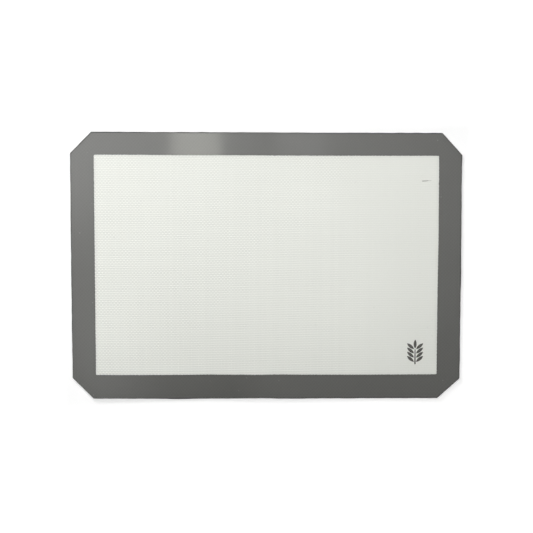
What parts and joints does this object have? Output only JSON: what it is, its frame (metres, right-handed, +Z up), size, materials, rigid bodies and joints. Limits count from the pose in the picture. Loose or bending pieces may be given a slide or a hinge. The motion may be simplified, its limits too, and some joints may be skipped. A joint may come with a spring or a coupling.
{
  "type": "silicone baking mat",
  "caption": "Flat eight-sided baking mat: woven glass cloth between silicone skins, with a sealed edge, a printed grey border and a small printed ear of wheat.",
  "frame": {"origin": "centre of the underside, on the surface that the mat lies on", "axes": "+X along the long side, to the user's right; +Y across the mat, away from the user; +Z up, out of the printed face"},
  "size_m": [0.419, 0.2866, 0.0008],
  "materials": {
    "clear_silicone": "satin",
    "glass_cloth": "matte",
    "grey_silicone": "satin",
    "dark_ink": "satin"
  },
  "bodies": {
    "root": {"lower_silicone_skin": "clear_silicone", "woven_glass_cloth": "glass_cloth", "upper_silicone_skin": "clear_silicone", "edge_seal": "grey_silicone", "border_print": "grey_silicone", "corner_ornament": "dark_ink"}
  },
  "joints": []
}
